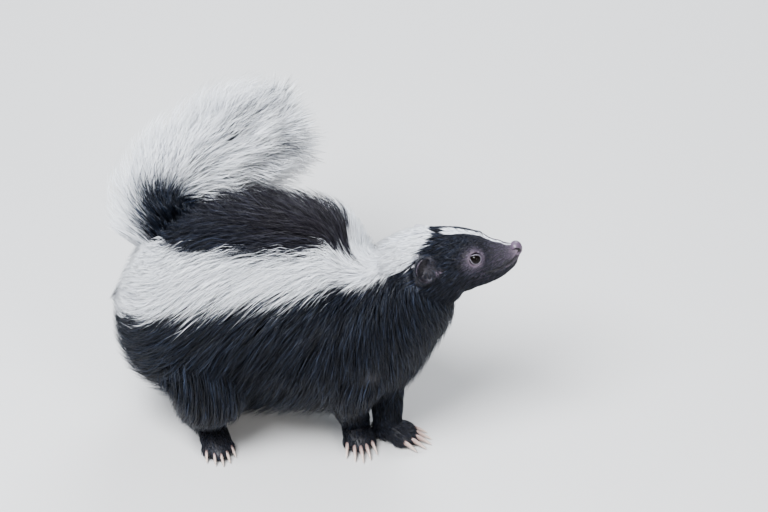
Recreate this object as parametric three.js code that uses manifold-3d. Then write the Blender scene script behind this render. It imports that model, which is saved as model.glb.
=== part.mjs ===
// A striped skunk, life size, standing on the floor with its head raised and its tail carried high.
// Millimetres, +Z up. The animal faces +X and its right side faces -Y.

import * as THREE from 'three';
import { mergeVertices } from 'three/addons/utils/BufferGeometryUtils.js';
import Module from 'manifold-3d';

const wasm = await Module();
wasm.setup();

const V = (x, y, z) => new THREE.Vector3(x, y, z);
const rad = THREE.MathUtils.degToRad;

// Driving dimensions
const GAP = 0.35; // between nodes that touch
const CORE_SHARE = 0.45; // how far the core of torso and tail reaches towards the tips of the coat
const LOCKS = true;

// The trunk, from the rump to the back of the skull, out to the tips of the coat: centre, half width,
// half height and the depth of the coat.
const TRUNK = [
  { at: V(-168, 20, 146), wide: 36, high: 38, coat: 36 },
  { at: V(-156, 18, 140), wide: 58, high: 62, coat: 44 },
  { at: V(-136, 15, 131), wide: 78, high: 82, coat: 44 },
  { at: V(-108, 11, 124), wide: 90, high: 95, coat: 40 },
  { at: V(-72, 6, 120), wide: 93, high: 101, coat: 38 },
  { at: V(-32, -1, 120), wide: 90, high: 99, coat: 36 },
  { at: V(8, -11, 121), wide: 84, high: 96, coat: 32 },
  { at: V(42, -22, 122), wide: 74, high: 89, coat: 28 },
  { at: V(65, -30, 131), wide: 62, high: 73, coat: 24 },
  { at: V(83, -35, 149), wide: 49, high: 55, coat: 20 },
  { at: V(99, -37, 168), wide: 38, high: 45, coat: 14 },
  { at: V(114, -37, 182), wide: 30, high: 37, coat: 10 },
];

// The tail's bone line, raised from the rump and arched forward over the left flank, its core and its hair
const TAIL = [
  { at: V(-116, 24, 158), wide: 20, high: 20 },
  { at: V(-122, 44, 192), wide: 23, high: 23 },
  { at: V(-98, 70, 215), wide: 25, high: 25 },
  { at: V(-54, 92, 230), wide: 24, high: 24 },
  { at: V(-22, 104, 236), wide: 13, high: 13 },
];
const TAIL_HAIR = [
  { at: V(-124, 30, 172), wide: 32, high: 32 },
  { at: V(-122, 50, 196), wide: 47, high: 47 },
  { at: V(-92, 75, 216), wide: 52, high: 52 },
  { at: V(-48, 97, 230), wide: 54, high: 54 },
  { at: V(-6, 112, 238), wide: 32, high: 32 },
];

// The head, seen from the tip of the nose: how far behind it, half width, top and bottom of the section
const NOSE_TIP = V(193, -29, 206);
const HEAD_FORWARD = V(0.973, 0.045, 0.228);
const HEAD_UP = V(-0.213, 0.037, 0.976);
const HEAD = [
  { behind: 3, wide: 6, top: 5.5, bottom: -7.5 },
  { behind: 8, wide: 8.5, top: 7, bottom: -13 },
  { behind: 14, wide: 10.5, top: 8.5, bottom: -19 },
  { behind: 24, wide: 13.5, top: 14, bottom: -25.5 },
  { behind: 33, wide: 17.5, top: 20.5, bottom: -29 },
  { behind: 42, wide: 21.5, top: 27, bottom: -31 },
  { behind: 56, wide: 27.5, top: 35, bottom: -33.5 },
  { behind: 71, wide: 33, top: 40, bottom: -40 },
  { behind: 84, wide: 35.5, top: 41.5, bottom: -46 },
  { behind: 100, wide: 34, top: 38, bottom: -50 },
];
const EYE = { at: V(-40.5, 15.4, 9.6), radius: 4.7 };
const EAR = { at: V(-82, 27.7, 16.2), reach: 13, deep: 6, turn: rad(32), tip: rad(11), wall: 2.4 };

// Where the nodes of trunk and head are parted: a place on the cut and the way it faces
const NECK_CUT = { at: V(72, -32, 138), facing: V(0.86, -0.2, 0.47) };
const HEAD_CUT = { at: V(97, -37, 172), facing: V(0.9, 0.02, 0.43) };

// Legs, from shoulder or hip to wrist or ankle: line and half widths, then the paw's place and heading
const ANKLE = 26;
const LEGS = {
  foreleg_right: {
    line: [V(54, -58, 104), V(44, -60, 72), V(44, -51, 42), V(48, -40, 16)],
    half: [36, 27, 17, 12.5],
    foot: V(48, -40, 0), heading: -80, fore: true,
  },
  foreleg_left: {
    line: [V(64, -6, 104), V(66, -10, 72), V(75, -22, 42), V(77, -42, 16)],
    half: [34, 26, 17, 12.5],
    foot: V(77, -43, 0), heading: -20, fore: true,
  },
  hindleg_right: {
    line: [V(-96, -30, 104), V(-80, -54, 72), V(-88, -46, 42), V(-86, -34, 16)],
    half: [50, 42, 29, 16],
    foot: V(-85, -34, 0), heading: -74, fore: false,
  },
  hindleg_left: {
    line: [V(-96, 50, 104), V(-74, 66, 72), V(-88, 66, 42), V(-94, 62, 16)],
    half: [50, 42, 28, 16],
    foot: V(-94, 62, 0), heading: 6, fore: false,
  },
};
const LEG_TOP = 84;
const FORE_PAW = { length: 24, toe: 4.6, claw: 15, spread: 5.4, clawHalf: 1.9 };
const HIND_PAW = { length: 42, toe: 4.8, claw: 9, spread: 5.8, clawHalf: 1.7 };

const LOOKS = {
  torso: { color: 0x111216, roughness: 0.7, metalness: 0 },
  tail: { color: 0xe6e7ea, roughness: 0.8, metalness: 0 },
  nose: { color: 0x4c3b42, roughness: 0.4, metalness: 0 },
  eye: { color: 0x050404, roughness: 0.05, metalness: 0 },
  forepaw: { color: 0x2a2426, roughness: 0.6, metalness: 0 },
  hindpaw: { color: 0x2a2426, roughness: 0.6, metalness: 0 },
};

let seed = 20417;
function random() {
  seed = (seed * 16807) % 2147483647;
  return seed / 2147483647;
}
const between = (low, high) => low + (high - low) * random();

// A three.js shape as a solid, and a solid as a three.js shape
function solid(geometry) {
  const bare = geometry.index ? geometry.toNonIndexed() : geometry.clone();
  for (const name of Object.keys(bare.attributes)) {
    if (name !== 'position') bare.deleteAttribute(name);
  }
  const merged = mergeVertices(bare, 1e-3);
  return new wasm.Manifold(new wasm.Mesh({
    numProp: 3,
    vertProperties: merged.attributes.position.array,
    triVerts: new Uint32Array(merged.index.array),
  }));
}

function geometryOf(made) {
  const mesh = made.getMesh();
  const geometry = new THREE.BufferGeometry();
  geometry.setAttribute('position', new THREE.BufferAttribute(new Float32Array(mesh.vertProperties), 3));
  geometry.setIndex(new THREE.BufferAttribute(new Uint32Array(mesh.triVerts), 1));
  geometry.computeVertexNormals();
  return geometry;
}

const joined = (pieces) => wasm.Manifold.union(pieces);

function largest(made) {
  return made.decompose().reduce((best, one) => (one.volume() > best.volume() ? one : best));
}

// A body of oval sections along a line. point(t, turn) is a place on its surface, where turn 0 is its
// top and a quarter turn its right side.
function body(stations, upward = V(0, 0, 1), span = 0.01) {
  const places = new THREE.CatmullRomCurve3(stations.map((s) => s.at));
  const sizes = new THREE.CatmullRomCurve3(stations.map((s) => V(s.wide, s.high, 0)));
  const centre = (t) => places.getPoint(THREE.MathUtils.clamp(t, 0, 1));
  const frame = (t) => {
    const forward = centre(Math.min(1, t + span)).sub(centre(Math.max(0, t - span))).normalize();
    const right = V(0, 0, 0).crossVectors(forward, upward).normalize();
    return { forward, right, up: V(0, 0, 0).crossVectors(right, forward).normalize() };
  };
  const point = (t, turn, grow = 0) => {
    const { right, up } = frame(t);
    const size = sizes.getPoint(THREE.MathUtils.clamp(t, 0, 1));
    return centre(t)
      .addScaledVector(right, Math.sin(turn) * (size.x + grow))
      .addScaledVector(up, Math.cos(turn) * (size.y + grow));
  };
  return { centre, frame, point };
}

// The closed skin of such a body between two shares of its length: a cylinder bent to it
function tube(form, { from = 0, to = 1, rows = 12, sides = 16, grow = 0 } = {}) {
  const geometry = new THREE.CylinderGeometry(1, 1, 1, sides, rows);
  const place = geometry.attributes.position;
  for (let i = 0; i < place.count; i++) {
    const share = place.getY(i) + 0.5;
    const t = from + (to - from) * share;
    const reach = Math.hypot(place.getX(i), place.getZ(i));
    const turn = Math.atan2(place.getX(i), place.getZ(i));
    const spot = reach < 0.5 ? form.centre(t) : form.point(t, turn, grow);
    if (share < 1e-6) spot.addScaledVector(form.frame(t).forward, -grow);
    if (share > 1 - 1e-6) spot.addScaledVector(form.frame(t).forward, grow);
    place.setXYZ(i, spot.x, spot.y, spot.z);
  }
  return solid(geometry);
}

function ball(at, sizes, sides = 14, rows = 9) {
  return solid(new THREE.SphereGeometry(1, sides, rows).scale(...sizes).translate(at.x, at.y, at.z));
}

// All space on the side of a cut that it faces, less half a gap
function beyond(cut, side) {
  const reach = 700;
  const geometry = new THREE.BoxGeometry(reach, reach, reach).translate(0, 0, reach / 2 + GAP / 2);
  const facing = cut.facing.clone().normalize().multiplyScalar(side);
  const turn = new THREE.Quaternion().setFromUnitVectors(V(0, 0, 1), facing);
  return solid(geometry.applyQuaternion(turn).translate(cut.at.x, cut.at.y, cut.at.z));
}
const above = (z) => beyond({ at: V(0, 0, z), facing: V(0, 0, 1) }, 1);
const below = (z) => beyond({ at: V(0, 0, z), facing: V(0, 0, 1) }, -1);

// A flat lock of hair. It grows from the core at (t, turn), bends over to lie along the body and ends
// in a point on the outer form.
function lock(core, outer, root, size) {
  const geometry = new THREE.ConeGeometry(1, 1, 3, 4);
  const place = geometry.attributes.position;
  const spine = (s) => {
    const t = THREE.MathUtils.clamp(root.t + size.run * s, 0, 1);
    const turn = root.turn + size.lean * Math.sin(root.turn) * s;
    const rise = Math.sin(Math.min(1, s * 1.05) * Math.PI * 0.5) * size.lift;
    const low = core.point(t, turn, -size.sunk * (1 - s));
    return low.lerp(outer.point(t, turn), rise);
  };
  for (let i = 0; i < place.count; i++) {
    const s = place.getY(i) + 0.5;
    const reach = Math.hypot(place.getX(i), place.getZ(i)) / Math.max(1e-6, 1 - s);
    const round = Math.atan2(place.getX(i), place.getZ(i));
    const here = spine(s);
    const tangent = spine(Math.min(1, s + 0.03)).sub(spine(Math.max(0, s - 0.03))).normalize();
    const t = THREE.MathUtils.clamp(root.t + size.run * s, 0, 1);
    const turn = root.turn + size.lean * Math.sin(root.turn) * s;
    const across = outer.point(t, turn + 0.02).sub(outer.point(t, turn - 0.02));
    across.addScaledVector(tangent, -across.dot(tangent)).normalize().multiplyScalar(Math.sign(size.run));
    const raised = V(0, 0, 0).crossVectors(across, tangent).normalize();
    const swell = s > 0.999 || reach < 0.5 ? 0 : 0.72 + 0.9 * s - 1.5 * s * s;
    here.addScaledVector(across, Math.sin(round) * size.half * swell);
    here.addScaledVector(raised, Math.cos(round) * size.thick * swell * (Math.cos(round) < 0 ? 0.6 : 1));
    place.setXYZ(i, here.x, here.y, here.z);
  }
  return solid(geometry);
}

// Rows of locks over a body, each row turned by half a lock against the last
function coat(core, outer, plan) {
  const locks = [];
  for (let row = 0; row < plan.rows; row++) {
    const t = plan.from + ((plan.to - plan.from) * row) / (plan.rows - 1);
    for (let i = 0; i < plan.around; i++) {
      const turn = (2 * Math.PI * (i + 0.5 * (row % 2) + between(-0.22, 0.22))) / plan.around;
      const fine = between(0.85, 1.15);
      const made = lock(core, outer, { t: t + between(-0.012, 0.012), turn }, {
        run: plan.run * between(0.85, 1.15),
        lean: plan.lean,
        lift: between(row === 0 || row === plan.rows - 1 ? plan.loose : 0.9, 1),
        sunk: plan.sunk,
        half: plan.half * fine,
        thick: plan.thick * fine,
      });
      locks.push(plan.trim ? plan.trim(made, t, turn) : made);
    }
  }
  return locks;
}

// Trunk: the outer form of the coat, and the core that its locks grow from
const BEND = 0.16; // share of the trunk over which its sections turn as the neck bends up
const trunk = body(TRUNK, V(0, 0, 1), BEND);
const trunkCore = body(TRUNK.map((s, i) => ({
  at: i > 1 ? s.at : TRUNK[1].at.clone().lerp(TRUNK[2].at, i === 0 ? 0.15 : 0.45),
  wide: s.wide - s.coat * (1 - CORE_SHARE),
  high: s.high - s.coat * (1 - CORE_SHARE),
})), V(0, 0, 1), BEND);
const outerForm = (grow) => tube(trunk, { rows: 18, sides: 22, grow });
const coreForm = (grow) => tube(trunkCore, { rows: 15, sides: 16, grow });

// Legs and paws
function legForm(leg, grow = 0) {
  const stations = leg.line.map((at, i) => ({ at, wide: leg.half[i], high: leg.half[i] * 1.06 }));
  return tube(body(stations, V(1, 0, 0), 0.18), { rows: 6, sides: 12, grow });
}

// A claw: a cone bent down along an arc, its thick end in the toe
function claw(at, kind) {
  const geometry = new THREE.ConeGeometry(kind.clawHalf, kind.claw, 4, 3).rotateZ(-Math.PI / 2);
  const place = geometry.attributes.position;
  for (let i = 0; i < place.count; i++) {
    const u = place.getX(i) / kind.claw + 0.5;
    place.setZ(i, place.getZ(i) * 1.2 + 1.6 - 5.2 * u * u);
    place.setX(i, u * kind.claw);
  }
  return geometry.translate(at.x, at.y, at.z);
}

function paw(leg) {
  const kind = leg.fore ? FORE_PAW : HIND_PAW;
  const line = body([
    { at: V(-12, 0, 6), wide: 7, high: 5 },
    { at: V(-7, 0, 9.5), wide: 11, high: 9.5 },
    { at: V(kind.length * 0.3, 0, 9.5), wide: 13, high: 10.5 },
    { at: V(kind.length * 0.75, 0, 7.5), wide: 14, high: 8.2 },
    { at: V(kind.length, 0, 5.5), wide: 10.5, high: 5.6 },
  ]);
  const pieces = [tube(line, { rows: 5, sides: 10 })];
  for (let toe = -2; toe <= 2; toe++) {
    const reach = kind.length - Math.abs(toe) ** 1.7 * 2.6;
    const fan = rad(-toe * 7);
    const root = V(reach, -toe * kind.spread, kind.toe * 1.05);
    pieces.push(ball(root, [kind.toe * 1.7, kind.toe * 0.66, kind.toe * 1.05], 6, 5));
    const nail = claw(V(kind.toe * 1.0, 0, 0.4), kind).rotateZ(fan);
    pieces.push(solid(nail.translate(root.x, root.y, root.z)));
  }
  const turn = new THREE.Matrix4().makeRotationZ(rad(leg.heading)).setPosition(leg.foot);
  return joined([joined(pieces).transform(turn.elements), legForm(leg)])
    .intersect(above(-GAP / 2))
    .intersect(below(ANKLE));
}

// Head, in its own frame: x forward from the tip of the nose, y to its left, z up
const headLeft = V(0, 0, 0).crossVectors(HEAD_UP, HEAD_FORWARD).normalize();
const headUp = V(0, 0, 0).crossVectors(HEAD_FORWARD, headLeft).normalize();
const headTurn = new THREE.Matrix4()
  .makeBasis(HEAD_FORWARD.clone().normalize(), headLeft, headUp)
  .setPosition(NOSE_TIP);
const inHead = (made) => made.transform(headTurn.elements);
const SIDES = [['right', -1], ['left', 1]];
const toSide = (at, side) => V(at.x, at.y * side, at.z);

const skull = body(HEAD.slice().reverse().map((s) => ({
  at: V(-s.behind, 0, (s.top + s.bottom) / 2),
  wide: s.wide,
  high: (s.top - s.bottom) / 2,
})));

// Line of the mouth on one side: along the skull at a falling height, from the front to the corner
function mouthLine(side, out) {
  const spots = [];
  for (let i = 0; i <= 6; i++) {
    const behind = 5 + 27 * (i / 6);
    const t = 1 - headShare(behind);
    const turn = side * (-1) * rad(92 + 6 * Math.sin((i / 6) * Math.PI));
    spots.push(skull.point(t, turn, out));
  }
  return spots;
}

// Share of the skull's length at a distance behind the nose, found by halving
function headShare(behind) {
  let low = 0;
  let high = 1;
  for (let i = 0; i < 30; i++) {
    const middle = (low + high) / 2;
    if (-skull.centre(1 - middle).x < behind) low = middle;
    else high = middle;
  }
  return low;
}

function cord(spots, half, sides = 5, rows = 7) {
  return tube(body(spots.map((at) => ({ at, wide: half, high: half })), V(0, 0, 1)), { rows, sides });
}

function headForm() {
  const pieces = [tube(skull, { rows: 17, sides: 20 })];
  for (const [, side] of SIDES) {
    pieces.push(cord(mouthLine(side, -0.9), 1.9));
    pieces.push(ball(toSide(EYE.at, side), [7.4, 6.2, 6.6], 12, 8));
  }
  let made = joined(pieces);
  for (const [, side] of SIDES) {
    const eye = toSide(EYE.at, side);
    made = made.subtract(cord(mouthLine(side, 1.0), 0.8));
    made = made.subtract(ball(eye, [EYE.radius + GAP, EYE.radius + GAP, EYE.radius + GAP], 12, 8));
    const slit = eye.clone().add(V(1, side * 6, 0.3));
    made = made.subtract(ball(slit, [4.6, 6, 4.1], 10, 6));
  }
  return made;
}

// An ear: a low round cup, its hollow turned outward and forward
function ear(side, grow = 0) {
  const reach = EAR.reach + grow;
  const shell = new THREE.SphereGeometry(1, 12, 7).scale(reach, EAR.deep + grow, reach * 0.98);
  const hollow = new THREE.SphereGeometry(1, 10, 6)
    .scale(EAR.reach - EAR.wall, EAR.deep, EAR.reach - EAR.wall)
    .translate(1, side * (EAR.deep - 1.6), -0.5);
  const set = (geometry) => {
    const at = toSide(EAR.at, side);
    return solid(geometry.rotateZ(-side * EAR.turn).rotateX(side * EAR.tip).translate(at.x, at.y, at.z));
  };
  const cup = set(shell);
  return inHead(grow > 0 ? cup : cup.subtract(set(hollow)));
}

// The nose: a rounded pad with a nostril on each side
function nosePad() {
  let pad = ball(V(-4.2, 0, 0.4), [5, 6.1, 6.4], 12, 8);
  for (const [, side] of SIDES) pad = pad.subtract(ball(V(-0.6, side * 3.6, 0.6), [2.6, 1.7, 1.2], 6, 4));
  return pad;
}

const nodes = {};
const allLegs = joined(Object.values(LEGS).map((leg) => legForm(leg, GAP)));
const tailCore = body(TAIL);
const tailHair = body(TAIL_HAIR);
let whole;
let tail;
if (LOCKS) {
  const reach = outerForm(0);
  const nearTail = (t, turn) => t < 0.8 && Math.cos(turn + 0.7) > -0.25;
  const hair = coat(trunkCore, trunk, {
    from: 0.06, to: 0.88, rows: 6, around: 9, run: -0.25, lean: 0.42, sunk: 9, half: 30, thick: 10, loose: 0.7,
    trim: (made, t, turn) => (nearTail(t, turn) ? made.intersect(reach) : made),
  });
  const clear = joined(hair)
    .subtract(allLegs)
    .subtract(tube(tailCore, { rows: 12, sides: 12, grow: GAP }));
  whole = joined([coreForm(0), clear]);
  const plume = coat(tailCore, tailHair, {
    from: 0.1, to: 0.94, rows: 6, around: 8, run: 0.26, lean: 0, sunk: 7, half: 21, thick: 8, loose: 0.45,
  });
  tail = joined([
    tube(tailCore, { rows: 12, sides: 12 }).subtract(coreForm(GAP)),
    joined(plume).subtract(outerForm(GAP)),
  ]);
} else {
  whole = outerForm(0);
  tail = tube(tailHair, { rows: 12, sides: 18 }).subtract(outerForm(GAP));
}
const headWhole = joined([inHead(headForm()), tube(trunk, { from: 0.8, rows: 5, sides: 24 })]);
nodes.torso = largest(whole.intersect(beyond(NECK_CUT, -1)));
nodes.neck = largest(whole.intersect(beyond(NECK_CUT, 1)).intersect(beyond(HEAD_CUT, -1)));
const nose = nosePad();
nodes.head = headWhole
  .intersect(beyond(HEAD_CUT, 1))
  .subtract(inHead(ball(V(-4.2, 0, 0.4), [5 + GAP, 6.1 + GAP, 6.4 + GAP], 12, 8)));
nodes.tail = largest(tail);
nodes.nose = inHead(nose);
for (const [name, side] of SIDES) {
  nodes.head = nodes.head.subtract(ear(side, GAP));
  nodes['ear_' + name] = largest(ear(side).subtract(below(-500)));
  nodes['eye_' + name] = inHead(ball(toSide(EYE.at, side), [EYE.radius, EYE.radius, EYE.radius], 12, 8));
}
nodes.head = largest(nodes.head);
const legStop = LOCKS ? coreForm(GAP) : outerForm(GAP);
for (const [name, leg] of Object.entries(LEGS)) {
  nodes[name] = largest(legForm(leg)
    .intersect(above(ANKLE))
    .intersect(below(LEG_TOP))
    .subtract(legStop));
  nodes[name.replace('leg', 'paw')] = largest(paw(leg));
}

// The middle of the part's outline, seen from above, goes to the origin, on the floor
const box = new THREE.Box3();
for (const made of Object.values(nodes)) {
  box.expandByPoint(V(...made.boundingBox().min));
  box.expandByPoint(V(...made.boundingBox().max));
}
const shift = [-(box.min.x + box.max.x) / 2, -(box.min.y + box.max.y) / 2, -box.min.z];
console.log('shift', shift.map((v) => v.toFixed(3)).join(' '));

// A node in 32-bit numbers, with near points merged, as one closed surface
function settled(made) {
  let one = made;
  for (let i = 0; i < 3; i++) one = largest(solid(geometryOf(one)));
  return one;
}

const skunk = new THREE.Group();
let count = 0;
for (const [name, rough] of Object.entries(nodes)) {
  const made = settled(rough.translate(shift));
  const look = LOOKS[name.split('_')[0]] ?? LOOKS.torso;
  const mesh = new THREE.Mesh(geometryOf(made), new THREE.MeshStandardMaterial(look));
  mesh.name = name;
  skunk.add(mesh);
  count += made.numTri();
  console.log(name, made.numTri(), Math.round(made.volume()));
}
console.log('triangles', count);
export default skunk;
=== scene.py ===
# A striped skunk standing still, life size, with its head raised and its tail carried over its back.

import math

import bpy
import numpy as np
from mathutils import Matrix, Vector


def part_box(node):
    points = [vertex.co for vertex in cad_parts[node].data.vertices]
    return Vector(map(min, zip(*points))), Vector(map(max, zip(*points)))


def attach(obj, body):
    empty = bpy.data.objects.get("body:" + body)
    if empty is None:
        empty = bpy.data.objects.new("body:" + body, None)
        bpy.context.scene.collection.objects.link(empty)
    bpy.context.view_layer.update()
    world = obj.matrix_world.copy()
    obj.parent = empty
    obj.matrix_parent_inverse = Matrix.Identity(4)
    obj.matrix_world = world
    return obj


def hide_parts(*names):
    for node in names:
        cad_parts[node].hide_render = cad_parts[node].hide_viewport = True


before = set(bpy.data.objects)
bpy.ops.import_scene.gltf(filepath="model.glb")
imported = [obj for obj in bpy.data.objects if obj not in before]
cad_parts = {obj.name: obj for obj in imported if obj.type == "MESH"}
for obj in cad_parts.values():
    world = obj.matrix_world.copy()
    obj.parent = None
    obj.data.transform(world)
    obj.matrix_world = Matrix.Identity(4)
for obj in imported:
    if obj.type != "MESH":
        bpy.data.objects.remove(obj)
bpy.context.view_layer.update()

# Stance. The skunk faces +X with its right side to the viewer. Its head has a line of its own, pitched
# up, and all places on the head are given from the tip of the nose.
MM = 0.001
nose_tip = np.array([193.0, -29.0, 206.0])
head_x = np.array([0.973, 0.045, 0.228])
head_x /= np.linalg.norm(head_x)
head_y = np.cross([-0.213, 0.037, 0.976], head_x)
head_y /= np.linalg.norm(head_y)
head_z = np.cross(head_x, head_y)
head_axes = np.array([head_x, head_y, head_z])
eye_place = np.array([-40.5, 15.4, 9.6])
eye_radius = 4.7


def from_head(places):
    return nose_tip + np.asarray(places, float) @ head_axes


def to_head(places):
    return (np.asarray(places, float) - nose_tip) @ head_axes.T


eye_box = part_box("eye_right")
eye_middle = np.array([(eye_box[0][i] + eye_box[1][i]) / 2 for i in range(3)]) / MM
stand = eye_middle - from_head(eye_place * [1, -1, 1])


def placed(points):
    return ((np.asarray(points, float) + stand) * MM).reshape(-1, 3)


# Viewpoint. The photograph looks down on the skunk's right side from a good distance.
view_up = math.radians(38.0)
view_far = 2400.0
aim = placed([[73.7, -10.0, 181.4]])[0]
camera = bpy.data.objects.new("camera", bpy.data.cameras.new("camera"))
bpy.context.scene.collection.objects.link(camera)
camera.data.lens = 128.2
camera.data.sensor_width = 36.0
camera.data.clip_start, camera.data.clip_end = 0.05, 50.0
camera.location = Vector(aim) + Vector((0, -math.cos(view_up), math.sin(view_up))) * view_far * MM
camera.rotation_euler = (math.radians(90) - view_up, 0, 0)
bpy.context.scene.camera = camera


# Skin. One hide covers trunk, head, legs, tail and ears. It is lofted from oval sections of the flesh,
# fused, and then worked over on the head, where the fur is short enough to show it.
def smooth_line(knots):
    """Cubic through the knots, read at any share of its length."""
    knots = np.asarray(knots, float)
    padded = np.vstack([2 * knots[0] - knots[1], knots, 2 * knots[-1] - knots[-2]])

    def read(t):
        u = np.clip(np.asarray(t, float), 0, 1) * (len(knots) - 1)
        i = np.minimum(u.astype(int), len(knots) - 2)
        f = (u - i)[..., None]
        a, b, c, d = (padded[i + k] for k in range(4))
        square = (2 * a - 5 * b + 4 * c - d) * f**2
        cube = (3 * b - a - 3 * c + d) * f**3
        return 0.5 * (2 * b + (c - a) * f + square + cube)

    return read


def unit(v):
    return v / np.maximum(np.linalg.norm(v, axis=-1, keepdims=True), 1e-9)


def turned(angle):
    """Axes turned about the vertical."""
    cos, sin = math.cos(angle), math.sin(angle)
    return np.array([[cos, sin, 0], [-sin, cos, 0], [0, 0, 1]])


def bands(rows, sides, start=0, closed=False):
    """Four-sided faces between neighbouring rings of points."""
    faces = []
    for r in range(rows if closed else rows - 1):
        low, high = start + r * sides, start + (r + 1) % rows * sides
        for s in range(sides):
            n = (s + 1) % sides
            faces.append((low + s, low + n, high + n, high + s))
    return faces


class Form:
    """Oval sections along a line. Turn 0 is the top of a section and a quarter turn its right side."""

    def __init__(self, middles, halves, up=(0, 0, 1), span=0.02):
        self.middle, self.half = smooth_line(middles), smooth_line(halves)
        self.up, self.span = np.array(up, float), span

    def frame(self, t):
        ahead = unit(self.middle(np.minimum(1, t + self.span)) - self.middle(np.maximum(0, t - self.span)))
        right = unit(np.cross(ahead, self.up))
        return ahead, right, np.cross(right, ahead)

    def point(self, t, turn, grow=0.0):
        t, turn = np.asarray(t, float), np.asarray(turn, float)
        _, right, top = self.frame(t)
        half = self.half(t)
        side = (np.sin(turn) * (half[..., 0] + grow))[..., None] * right
        return self.middle(t) + side + (np.cos(turn) * (half[..., 1] + grow))[..., None] * top

    def length(self):
        return np.linalg.norm(np.diff(self.middle(np.linspace(0, 1, 200)), axis=0), axis=1).sum()

    def shell(self, rows=60, sides=48):
        """Closed loft of the sections, with rounded ends."""
        t, turn = np.meshgrid(np.linspace(0, 1, rows), np.arange(sides) * 2 * np.pi / sides, indexing="ij")
        rings = self.point(t, turn)
        ends = []
        for k, side in ((0, -1), (-1, 1)):
            ahead = self.frame(np.array([0.0 if k == 0 else 1.0]))[0][0]
            radius = self.half(np.array([0.0 if k == 0 else 1.0]))[0].mean()
            middle = rings[k].mean(axis=0)
            caps = [middle + (rings[k] - middle) * math.cos(a) + side * ahead * radius * 0.6 * math.sin(a)
                    for a in (0.5, 1.0, 1.4)]
            ends.append((caps, middle + side * ahead * radius * 0.6))
        layers = ends[0][0][::-1] + list(rings) + ends[1][0]
        points = np.vstack(layers + [ends[0][1][None], ends[1][1][None]])
        count = len(layers)
        faces = bands(count, sides)
        first, last = count * sides, count * sides + 1
        for s in range(sides):
            n = (s + 1) % sides
            faces.append((first, n, s))
            faces.append(((count - 1) * sides + s, (count - 1) * sides + n, last))
        return points, faces


def oval(middle, halves, axes=np.eye(3), rows=16, sides=24):
    """Closed ellipsoid on the given axes."""
    around = np.arange(sides) * 2 * np.pi / sides
    a, b = np.meshgrid(np.linspace(0, np.pi, rows)[1:-1], around, indexing="ij")
    ball = np.stack([np.cos(a), np.sin(a) * np.cos(b), np.sin(a) * np.sin(b)], -1).reshape(-1, 3)
    ball = np.vstack([ball, [[1, 0, 0], [-1, 0, 0]]])
    points = np.asarray(middle) + (ball * halves) @ axes
    faces = []
    for r in range(rows - 3):
        for s in range(sides):
            n = (s + 1) % sides
            faces.append((r * sides + s, (r + 1) * sides + s, (r + 1) * sides + n, r * sides + n))
    first, last, top = len(ball) - 2, len(ball) - 1, (rows - 3) * sides
    for s in range(sides):
        n = (s + 1) % sides
        faces.append((first, s, n))
        faces.append((top + n, top + s, last))
    return points, faces


def mesh_object(name, points, faces):
    mesh = bpy.data.meshes.new(name)
    mesh.from_pydata(points.tolist(), [], faces)
    made = bpy.data.objects.new(name, mesh)
    bpy.context.scene.collection.objects.link(made)
    return made


def rounded(mesh):
    """Lets light run smoothly over the faces."""
    mesh.polygons.foreach_set("use_smooth", np.ones(len(mesh.polygons), bool))


def vertex_values(mesh, what):
    """The place or the normal of every vertex."""
    values = np.empty(len(mesh.vertices) * 3)
    mesh.vertices.foreach_get(what, values)
    return values.reshape(-1, 3)


def settled(owner):
    """Works an object's modifiers into its mesh."""
    bpy.context.view_layer.update()
    made = bpy.data.meshes.new_from_object(owner.evaluated_get(bpy.context.evaluated_depsgraph_get()))
    owner.modifiers.clear()
    owner.data = made
    return made


# Middle of each section, half width and half height of the coat, its depth, and how far it stands up on
# the back.
trunk_rows = [
    ((-154, 20, 150), 34, 34, 34, 0), ((-146, 18, 146), 56, 54, 44, 0), ((-131, 15, 137), 77, 76, 46, 0),
    ((-107, 11, 127), 89, 92.5, 42, 4), ((-72, 6, 120), 93, 101, 40, 11), ((-32, -1, 120), 90, 99, 38, 17),
    ((8, -11, 121), 84, 96, 34, 19), ((42, -22, 122), 74, 89, 30, 17), ((65, -30, 131), 62, 73, 26, 5),
    ((83, -35, 149), 49, 55, 20, 0), ((99, -37, 168), 38, 45, 14, 0), ((114, -37, 182), 30, 37, 9, 0),
]
bend = 0.16
trunk_coat = Form(
    [(x, y, z + arch / 2) for (x, y, z), _, _, _, arch in trunk_rows],
    [(wide, high + arch / 2) for _, wide, high, _, arch in trunk_rows],
    span=bend,
)
flesh_middles = [(x, y, z + arch / 4) for (x, y, z), _, _, _, arch in trunk_rows]
flesh_middles[:3] = [(-140, 15, 134), (-134, 15, 132), (-124, 13, 128)]
trunk_flesh = Form(
    flesh_middles,
    [(max(wide - deep, 4), max(high - deep + arch / 4, 4)) for _, wide, high, deep, arch in trunk_rows],
    span=bend,
)

# Distance behind the nose, half width, top, bottom, and depth of the fur.
head_rows = [
    (100, 34, 38, -50, 7), (84, 35.5, 41.5, -46, 6.5), (71, 33, 40, -40, 5.5), (56, 27.5, 35, -33.5, 4.2),
    (42, 21.5, 27, -31, 2.6), (33, 17.5, 20.5, -29, 1.8), (24, 13.5, 15.4, -25.5, 1.2),
    (14, 10.5, 11, -19, 1.1), (8, 8.5, 8.6, -13, 2.0), (3.5, 6, 6, -7.5, 2.2),
]
head_flesh = Form(
    from_head([(-back, 0, (top + low) / 2) for back, _, top, low, _ in head_rows]),
    [(wide - deep, (top - low) / 2 - deep) for _, wide, top, low, deep in head_rows],
    up=head_z, span=0.03,
)

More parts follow.
